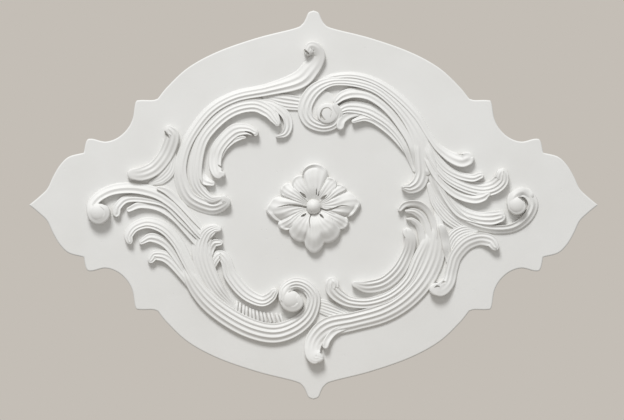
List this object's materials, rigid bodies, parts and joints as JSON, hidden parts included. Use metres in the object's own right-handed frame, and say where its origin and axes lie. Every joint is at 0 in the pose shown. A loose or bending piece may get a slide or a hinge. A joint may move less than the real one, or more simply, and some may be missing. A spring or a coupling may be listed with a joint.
{
  "type": "ceiling rose",
  "caption": "Flat cast plaster ceiling rose with a stepped, pointed outline and low rococo relief: C scrolls, leaf sprays, volutes and a petalled rosette.",
  "frame": {"origin": "middle of the flat back, the face that is fixed to the ceiling", "axes": "stored upright as it is shown: +X along the length between the two side points, +Z towards the top point, -Y out of the carved face towards the room, +Y out of the back into the ceiling"},
  "size_m": [1, 0.038, 0.684],
  "materials": {
    "plaster": "matt white cast plaster, faintly mottled"
  },
  "bodies": {
    "root": {"ceiling_rose": "plaster"}
  },
  "joints": []
}
